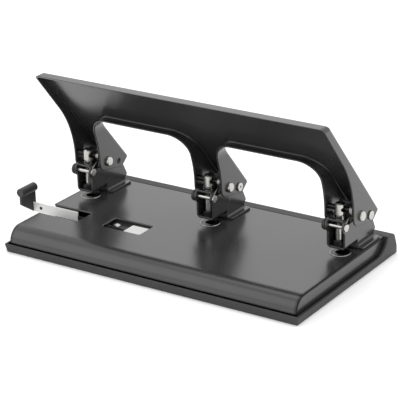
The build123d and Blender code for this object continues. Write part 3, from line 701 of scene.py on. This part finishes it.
def springTree(inputNames):
    tree = bpy.data.node_groups.new("springTree", "GeometryNodeTree")
    for name in inputNames:
        tree.interface.new_socket(name, in_out="INPUT", socket_type="NodeSocketFloat")
    tree.interface.new_socket("Spring", in_out="OUTPUT", socket_type="NodeSocketGeometry")
    given = tree.nodes.new("NodeGroupInput").outputs
    armSteps, coilSteps = springWire["armSteps"], springWire["coilSteps"]

    # each point of the line is told how far along the coil and how far out on an arm it lies
    count = tree.nodes.new("GeometryNodeInputIndex").outputs[0]
    step = mathNode(tree, "SUBTRACT", count, armSteps)
    share = mathNode(tree, "DIVIDE", step, coilSteps, clamp=True)
    angle = mathNode(tree, "MULTIPLY_ADD", share, given["Turn"], given["Start angle"])
    before = mathNode(tree, "DIVIDE", mathNode(tree, "MINIMUM", step, 0), armSteps)
    after = mathNode(tree, "MAXIMUM", mathNode(tree, "SUBTRACT", step, coilSteps), 0)
    after = mathNode(tree, "DIVIDE", after, armSteps)
    front = mathNode(tree, "MULTIPLY", before, given["Front arm"])
    reach = mathNode(tree, "MULTIPLY_ADD", after, given["Rear arm"], front)
    cosine = mathNode(tree, "COSINE", angle)
    sine = mathNode(tree, "SINE", angle)
    y = mathNode(tree, "MULTIPLY_ADD", cosine, given["Coil radius"], given["Coil Y"])
    y = mathNode(tree, "SUBTRACT", y, mathNode(tree, "MULTIPLY", sine, reach))
    z = mathNode(tree, "MULTIPLY_ADD", sine, given["Coil radius"], given["Coil Z"])
    z = mathNode(tree, "MULTIPLY_ADD", cosine, reach, z)
    x = mathNode(tree, "MULTIPLY_ADD", share, given["Rise"], given["First X"])
    spot = tree.nodes.new("ShaderNodeCombineXYZ")
    for value, socket in zip((x, y, z), spot.inputs):
        tree.links.new(value, socket)

    line = tree.nodes.new("GeometryNodeMeshLine")
    line.inputs["Count"].default_value = 2 * armSteps + coilSteps + 1
    place = tree.nodes.new("GeometryNodeSetPosition")
    wire = tree.nodes.new("GeometryNodeMeshToCurve")
    ring = tree.nodes.new("GeometryNodeCurvePrimitiveCircle")
    ring.inputs["Resolution"].default_value = springWire["roundSteps"]
    tube = tree.nodes.new("GeometryNodeCurveToMesh")
    tube.inputs["Fill Caps"].default_value = True
    smooth = tree.nodes.new("GeometryNodeSetShadeSmooth")
    real = tree.nodes.new("GeometryNodeRealizeInstances")
    paint = tree.nodes.new("GeometryNodeSetMaterial")
    paint.inputs["Material"].default_value = springSteel
    out = tree.nodes.new("NodeGroupOutput")
    tree.links.new(given["Wire radius"], ring.inputs["Radius"])
    tree.links.new(line.outputs[0], place.inputs["Geometry"])
    tree.links.new(spot.outputs[0], place.inputs["Position"])
    tree.links.new(place.outputs[0], wire.inputs[0])
    tree.links.new(wire.outputs[0], tube.inputs["Curve"])
    tree.links.new(ring.outputs[0], tube.inputs["Profile Curve"])
    tree.links.new(tube.outputs[0], smooth.inputs[0])
    tree.links.new(smooth.outputs[0], real.inputs[0])
    tree.links.new(real.outputs[0], paint.inputs["Geometry"])
    tree.links.new(paint.outputs[0], out.inputs[0])
    return tree


def meshFromTree(name, tree, sizes):
    shell = addObject(name + "Shell", bpy.data.meshes.new(name + "Shell"))
    modifier = shell.modifiers.new("sizes", "NODES")
    modifier.node_group = tree
    for item in tree.interface.items_tree:
        if item.name in sizes:
            modifier[item.identifier] = sizes[item.name]
    seen = shell.evaluated_get(bpy.context.evaluated_depsgraph_get())
    mesh = bpy.data.meshes.new_from_object(seen)
    bpy.data.objects.remove(shell)
    return addObject(name, mesh)


def makeSprings():
    tree = springTree(springSizes(0.0))
    for name, headX in headPlaces.items():
        piece = meshFromTree("torsion_spring_" + name, tree, springSizes(headX))
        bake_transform(piece)
        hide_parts("return_spring_" + name)


makeSprings()
print("springs wound")


# Camera: the photograph's viewing angle and distance
viewPoint = {
    "place": (0.6722, -0.9958, 0.5238),
    "yaw": 33.978,
    "pitch": 21.910,
    "roll": -1.572,
    "lens": 162.76,
    "sensor": 36.0,
    "farEnd": 20.0,
}


def setCamera():
    yaw, pitch, roll = (math.radians(viewPoint[key]) for key in ("yaw", "pitch", "roll"))
    right = Vector((math.cos(yaw), math.sin(yaw), 0.0))
    ahead = Vector((-math.sin(yaw) * math.cos(pitch), math.cos(yaw) * math.cos(pitch), -math.sin(pitch)))
    up = right.cross(ahead)
    side = right * math.cos(roll) + up * math.sin(roll)
    top = up * math.cos(roll) - right * math.sin(roll)
    turn = Matrix((side, top, -ahead)).transposed()
    data = bpy.data.cameras.new("photoCamera")
    data.lens = viewPoint["lens"]
    data.sensor_width = viewPoint["sensor"]
    data.clip_end = viewPoint["farEnd"]
    camera = addObject("photoCamera", data)
    camera.matrix_world = Matrix.Translation(viewPoint["place"]) @ turn.to_4x4()
    bpy.context.scene.camera = camera


# Studio: white world, pale floor, soft boxes
studio = {
    "white": (1.0, 1.0, 1.0, 1.0),
    "fill": 0.95,
    "floorSize": 6.0,
    "floorDrop": 0.0003,
    "floorColour": (0.92, 0.92, 0.92),
    "floorRough": 0.9,
    "floorGlow": 0.14,
    "lamps": (
        # name, place, aim, size, watts
        ("topBox", (0.10, 0.20, 1.30), (0.0, 0.0, 0.0), 1.3, 6.0),
        ("rightBox", (1.30, 0.10, 0.55), (0.0, 0.0, 0.06), 0.8, 1.0),
        ("backBox", (-0.60, 1.50, 0.80), (0.0, 0.0, 0.02), 1.2, 1.7),
        ("frontBox", (-0.82, -0.92, 0.75), (0.0, 0.0, 0.02), 1.1, 2.6),
    ),
}


def setWorld():
    world = bpy.data.worlds.new("studioWorld")
    world.use_nodes = True
    bpy.context.scene.world = world
    tree = world.node_tree
    fill = tree.nodes["Background"]
    backdrop = tree.nodes.new("ShaderNodeBackground")
    for background, strength in ((fill, studio["fill"]), (backdrop, 1.0)):
        background.inputs["Color"].default_value = studio["white"]
        background.inputs["Strength"].default_value = strength
    # the camera, and what shines, see plain white, and the fill lights the rest
    path = tree.nodes.new("ShaderNodeLightPath").outputs
    seen = mathNode(tree, "ADD", path["Is Camera Ray"], path["Is Glossy Ray"])
    seen = mathNode(tree, "ADD", seen, path["Is Transmission Ray"], clamp=True)
    mix = tree.nodes.new("ShaderNodeMixShader")
    tree.links.new(seen, mix.inputs["Fac"])
    tree.links.new(fill.outputs[0], mix.inputs[1])
    tree.links.new(backdrop.outputs[0], mix.inputs[2])
    tree.links.new(mix.outputs[0], tree.nodes["World Output"].inputs["Surface"])


def setFloor():
    half = studio["floorSize"] / 2
    z = -studio["floorDrop"]
    mesh = bpy.data.meshes.new("floor")
    corners = [(-half, -half, z), (half, -half, z), (half, half, z), (-half, half, z)]
    mesh.from_pydata(corners, [], [(0, 1, 2, 3)])
    floor = addObject("floor", mesh)
    mat, tree, shader = startMaterial("floorPale", studio["floorColour"], studio["floorRough"])
    shader.inputs["Specular IOR Level"].default_value = 0.0
    shader.inputs["Emission Color"].default_value = studio["white"]
    shader.inputs["Emission Strength"].default_value = studio["floorGlow"]
    mesh.materials.append(mat)


def setLamps():
    for name, place, aim, size, watts in studio["lamps"]:
        data = bpy.data.lights.new(name, "AREA")
        data.shape = "SQUARE"
        data.size = size
        data.energy = watts
        lamp = addObject(name, data)
        lamp.location = place
        look = Vector(aim) - Vector(place)
        lamp.rotation_euler = look.to_track_quat("-Z", "Y").to_euler()


setCamera()
setWorld()
setFloor()
setLamps()
bpy.context.scene.view_settings.view_transform = "Standard"
print("studio ready")
